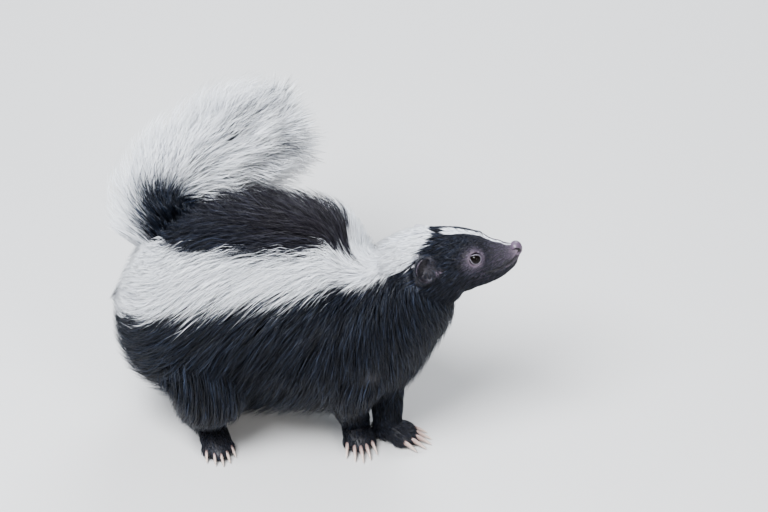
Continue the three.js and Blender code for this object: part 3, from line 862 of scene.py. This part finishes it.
warm_here = np.clip(1.4 - np.abs(turn0 + 0.1) / 0.5, 0, 1)
warm_here = warm_here * np.interp(t0, [0.25, 0.4, 0.6, 0.72], [0, 0.3, 0.75, 0.6])
warm_here = np.clip(warm_here + 0.12 * ripple(t0 * 20, turn0 * 4), 0, 1)
half = np.interp(t0, [0, 0.6, 1], [0.36, 0.32, 0.28]) * rng.uniform(0.6, 1.2, len(t0))
patches = np.stack([turn0 / (2 * np.pi) + 0.5, t0], -1)
bands = np.quantile(t0, np.linspace(0, 1, 7))
for k in range(6):
    pick = (t0 >= bands[k]) & ((t0 < bands[k + 1]) if k < 5 else (t0 <= bands[k + 1]))
    fur("coat_trunk_%d" % (k + 1), paths[pick], half[pick], white_here[pick], warm_here[pick],
        patches[pick], ["torso", "neck"])

# Tail hair: long, loose and mostly white, fanning off the bone towards the tip, with a dark streak on top.
tail_strands = 14500
spots = even(tail_strands)
t0, turn0 = spots[:, 0] ** 0.92, (spots[:, 1] * 2 - 1) * np.pi
tail_long = tail_flesh.length()
reach = np.interp(t0, [0, 0.3, 0.8, 1], [40, 56, 58, 44]) * rng.uniform(0.6, 1.2, len(t0))
run_t = reach * np.interp(t0, [0, 0.5, 1], [0.34, 0.5, 0.85]) / tail_long * rng.uniform(0.5, 1.4, len(t0))
pull_t, pull_turn, lock_play = gathered(t0, turn0, 0.055, 0.27, 0.80)
lift = np.clip(rng.normal(0.86, 0.13, len(t0)) + 0.42 * (lock_play - 0.5), 0.3, 1.14)
fold = np.clip(t0 / 0.22 - 3.4, 0, 1) * rng.random(len(t0)) ** 0.7 * np.pi / 2
swirl = 0.16 * ripple(t0 * 11, turn0 * 2) + 0.10 * rng.normal(size=len(t0))
paths = []
for s in steps:
    t = np.minimum(t0 + run_t * s**1.3 + pull_t * s**2, np.maximum(t0, 0.93))
    turn = turn0 + (pull_turn + swirl) * s**1.5
    rise = (np.sin(s * np.pi / 2) ** 1.15) * lift * np.cos(fold)
    inner, outer = tail_flesh.point(t, turn, -1.0), tail_coat.point(t, turn)
    spot = inner + (outer - inner) * rise[:, None]
    ahead = tail_coat.frame(np.clip(t, 0, 1))[0]
    spot += ahead * (reach * 0.75 * s * lift * np.sin(fold))[:, None]
    paths.append(spot)
paths = np.stack(paths, 1)
outward = unit(tail_flesh.point(t0, turn0) - tail_flesh.middle(t0))
to_light = outward @ unit(np.array([0, -0.79, 0.61]))
fade_out = np.interp(t0, [0, 0.18, 0.30, 0.38], [-0.2, -0.05, 0.45, 1.6]) + 0.12 * rng.normal(size=len(t0))
streak = (outward[:, 0] > fade_out) & (to_light > -0.35)
dusky = rng.random(len(t0)) < 0.65 * np.clip(t0 * 3 - 0.8, 0, 1)
dusky &= (to_light > 0.1) & (outward[:, 0] > -0.3)
dusky &= ripple(t0 * 9, turn0 * 3) > 0.35
# Painted shade: tufts of the lower-lying locks are greyer as shade between the clumps, added to the
# scattered dusky grey tufts.
grey_and_lock_shade = np.maximum(0.85 * dusky, 0.5 * np.clip(0.4 - lock_play, 0, 1))
white_here = 1.0 - streak - ~streak * grey_and_lock_shade
half = rng.uniform(0.22, 0.42, len(t0))
patches = np.stack([turn0 / (2 * np.pi) + 0.5, t0], -1)
for k, pick in enumerate((t0 < 0.5, t0 >= 0.5)):
    fur("coat_tail_%d" % (k + 1), paths[pick], half[pick], white_here[pick], np.zeros(pick.sum()),
        patches[pick], ["tail"])

# Leg fur: black, 2 to 3 cm on the thighs and shorter down to the wrists, hanging towards the foot.
for leg_name, leg in legs.items():
    flesh, cover = leg_flesh[leg_name], leg_coat[leg_name]
    spots = even(2600 if leg["fore"] else 4200)
    t0, turn0 = spots[:, 0] ** 0.9 * 0.97 + 0.02, (spots[:, 1] * 2 - 1) * np.pi
    long = flesh.length()
    reach = np.interp(t0, [0, 0.5, 1], [34, 30, 15]) * rng.uniform(0.7, 1.15, len(t0))
    pull_t, pull_turn, lock_play = gathered(t0, turn0, 0.07, 0.3, 0.45)
    lift = np.clip(rng.normal(0.9, 0.12, len(t0)), 0.4, 1.05)
    paths = []
    for s in np.linspace(0, 1, 3):
        t = t0 + reach * 0.85 / long * s + pull_t * s**2
        turn = turn0 + pull_turn * s**2
        rise = np.sin(s * np.pi / 2) * lift
        inner, outer = flesh.point(t, turn, -0.8), cover.point(t, turn)
        spot = inner + (outer - inner) * rise[:, None]
        spot[:, 2] -= np.clip(t - 1, 0, 0.1) * long
        paths.append(spot)
    paths = np.stack(paths, 1)
    patches = np.stack([turn0 / (2 * np.pi) + 0.5, t0], -1)
    none = np.zeros(len(t0))
    fur("coat_" + leg_name, paths, rng.uniform(0.30, 0.48, len(t0)), none, none, patches, [leg_name])

# Short fur of head, ears and paws, from 2 mm on the muzzle to 14 mm behind the cheeks. It is rooted on the
# hide itself and lies back from the nose, and forward over the feet. Lids, lips and nose are left bare.
fused.calc_loop_triangles()
corner = np.empty(len(fused.loop_triangles) * 3, np.int32)
fused.loop_triangles.foreach_get("vertices", corner)
corner = corner.reshape(-1, 3)
first, second, third = (skin_points[corner[:, k]] for k in range(3))
flat = np.cross(second - first, third - first)
extent = np.linalg.norm(flat, axis=1) / 2
facing = unit(flat)
centre = (first + second + third) / 3


def scatter(mask, count, crowd=1.0):
    """Random places on the chosen triangles of the hide, closer together where crowd is high."""
    chosen = np.flatnonzero(mask)
    weight = (extent * crowd)[chosen]
    picked = rng.choice(chosen, count, p=weight / weight.sum())
    u, v = rng.random(count), rng.random(count)
    over = u + v > 1
    u[over], v[over] = 1 - u[over], 1 - v[over]
    places = first[picked] + (second - first)[picked] * u[:, None] + (third - first)[picked] * v[:, None]
    return places, facing[picked]


def short_paths(places, normals, lie, reach, stand_off):
    """Short blades that leave the hide along the lie and settle on it."""
    along_hide = unit(lie - (lie * normals).sum(1)[:, None] * normals)
    paths = []
    for s in np.linspace(0, 1, 3):
        forward = along_hide * (reach * s)[:, None]
        off = normals * (reach * stand_off * (s - 0.35 * s * s))[:, None]
        paths.append(places - normals * 0.3 * (1 - s) + forward + off)
    return np.stack(paths, 1)


centre_head = to_head(centre)
back = -centre_head[:, 0]
ear_zone = np.zeros(len(centre), bool)
for ear_middle, ear_axes in ear_frames.values():
    local = (centre - ear_middle) @ ear_axes.T
    ear_zone |= (np.hypot(local[:, 0], local[:, 2]) < 15) & (np.abs(local[:, 1]) < 8)
near_mouth = (back < 33) & (np.abs(centre_head[:, 2] - mouth_height(back) + 0.3) < 1.0)
face = (back > 5) & (back < 112) & (centre[:, 0] > 80) & (centre[:, 2] > 118)
face &= (from_eyes(centre) > 7.0) & ~near_mouth & ~ear_zone
face_strands = 21000
places, normals = scatter(face, face_strands, np.interp(back, [5, 40, 70, 110], [2.4, 1.5, 1.1, 1.5]))
local = to_head(places)
back_here = -local[:, 0]
reach = np.interp(back_here, [5, 18, 40, 70, 100], [2.2, 3.4, 5.5, 9.5, 15])
reach = reach * rng.uniform(0.75, 1.2, len(places))
eye_close = from_eyes(places)
reach *= np.interp(eye_close, [7, 14], [0.5, 1.0])
lie = -head_x + head_z * np.interp(local[:, 2], [-30, 0, 25], [-0.35, -0.22, 0.0])[:, None]
lie = lie + head_y * (np.sign(local[:, 1]) * 0.25 * (back_here > 25))[:, None]
calm = np.interp(np.abs(local[:, 1]), [3, 8], [0.25, 1.0])[:, None]
wave = ripple(local[:, 0] / 6, local[:, 2] / 5)[:, None]
lie += calm * (0.10 * rng.normal(size=lie.shape) + 0.15 * wave * head_z)
stand_off = np.interp(back_here, [5, 40, 100], [0.22, 0.30, 0.42])
fray = rng.normal(size=len(places)) * 0.35
white_here = head_white(to_head(places), fray)
stand_off *= 1 + 0.3 * white_here
paths = short_paths(places, normals, lie, reach, stand_off)
patches = np.stack([np.arctan2(local[:, 1], local[:, 2] + 3) / (2 * np.pi) + 0.5, back_here / 110], -1)
half = np.interp(back_here, [5, 40, 100], [0.15, 0.21, 0.34]) * rng.uniform(0.7, 1.2, len(places))
half *= 1 + 0.5 * white_here * (back_here < 72)
lavender = np.exp(-((np.maximum(eye_close - 7, 0) / 4.0) ** 2)) * 0.8
snout = np.exp(-((np.maximum(back_here - 6, 0) / 17.0) ** 2)) * np.clip((local[:, 2] + 8) / 6, 0.15, 1)
lavender = np.maximum(lavender * 0.85, snout * 0.75)
# Painted sheen: a mottled paler patch on the cheeks stands in for light on the short fur.
cheek_sheen = np.exp(-(((back_here - 34) / 16) ** 2)) * np.exp(-(((local[:, 2] + 6) / 14) ** 2))
lavender = np.clip(lavender + cheek_sheen * 0.9 * np.maximum(ripple(local[:, 2] * 1.4, local[:, 0] / 7), 0), 0, 1)
for name, pick in (("coat_face", back_here < 48), ("coat_cheeks", back_here >= 48)):
    fur(name, paths[pick], half[pick], white_here[pick], np.full(pick.sum(), 0.15), patches[pick], ["head"],
        pale=lavender[pick])

ear_strands = 3600
places, normals = scatter(ear_zone, ear_strands)
far_ear, far_axes = ear_frames["left"]
far = (places - far_ear) @ far_axes.T
keep = (np.linalg.norm(far, axis=1) > 20) | (far[:, 2] < 3)
places, normals = places[keep], normals[keep]
lie = np.zeros_like(places)
patches = np.zeros((len(places), 2))
for index, (ear_middle, ear_axes) in enumerate(ear_frames.values()):
    local = (places - ear_middle) @ ear_axes.T
    mine = np.linalg.norm(local, axis=1) < 24
    spread = unit(local * [1, 0, 1]) @ ear_axes
    lie[mine] = spread[mine] - head_x * 0.5
    patches[mine] = (local[mine][:, [0, 2]] / 60 + 0.25 + 0.5 * index)
reach = rng.uniform(2.0, 4.4, len(places))
paths = short_paths(places, normals, lie, reach, np.full(len(places), 0.3))
fur("coat_ears", paths, rng.uniform(0.14, 0.24, len(places)), np.zeros(len(places)),
    np.full(len(places), 0.3), patches, ["ear_right", "ear_left"])

for leg_name, (foot, axes, kind) in paw_frames.items():
    local = (centre - foot) @ axes.T
    zone = (centre[:, 2] < 24) & (centre[:, 2] > 3.5) & (local[:, 0] > -18) & (np.abs(local[:, 1]) < 22)
    zone &= (local[:, 0] < kind["length"] + kind["toe"] * 1.2) & (facing[:, 2] > -0.45)
    places, normals = scatter(zone, 1600)
    lie = axes[0] - np.array([0, 0, 0.5]) + 0.12 * rng.normal(size=places.shape)
    local = (places - foot) @ axes.T
    reach = np.interp(local[:, 0], [0, kind["length"]], [7.5, 3.6]) * rng.uniform(0.7, 1.2, len(places))
    paths = short_paths(places, normals, lie, reach, np.full(len(places), 0.3))
    patches = np.stack([local[:, 0] / 90 + 0.3, local[:, 1] / 60 + 0.5], -1)
    paw_name = leg_name.replace("leg", "paw")
    fur("coat_" + paw_name, paths, rng.uniform(0.2, 0.34, len(places)), np.zeros(len(places)),
        np.full(len(places), 0.2), patches, [paw_name])

# Floor and light. A pale floor, one broad soft light from the upper left and two weaker ones to fill.
floor = mesh_object("floor", np.array([[-4.0, -4, 0], [4, -4, 0], [4, 4, 0], [-4, 4, 0]]), [(0, 1, 2, 3)])
floor_paint = Paint("pale_floor")
floor_paint.set(Base_Color=(0.62, 0.61, 0.60, 1), Roughness=0.85)
floor.data.materials.append(floor_paint.material)


def lamp(name, place, size, power, colour):
    light = bpy.data.objects.new(name, bpy.data.lights.new(name, "AREA"))
    light.data.size, light.data.energy, light.data.color = size, power, colour
    light.location = place
    light.rotation_euler = (-Vector(place) + Vector((0, 0, 0.12))).to_track_quat("-Z", "Y").to_euler()
    bpy.context.scene.collection.objects.link(light)


lamp("sky_light", (-0.7, -0.9, 2.0), 1.1, 104, (0.93, 0.96, 1.0))
lamp("front_light", (1.4, -1.8, 1.2), 1.0, 26, (1.0, 0.98, 0.95))
lamp("back_light", (0.4, 1.8, 1.6), 1.2, 40, (0.90, 0.95, 1.0))
world = bpy.data.worlds.new("studio")
world.use_nodes = True
world.node_tree.nodes["Background"].inputs[0].default_value = (0.75, 0.80, 0.88, 1)
world.node_tree.nodes["Background"].inputs[1].default_value = 0.5
bpy.context.scene.world = world
bpy.context.scene.view_settings.look = "AgX - Medium High Contrast"

bpy.context.view_layer.update()
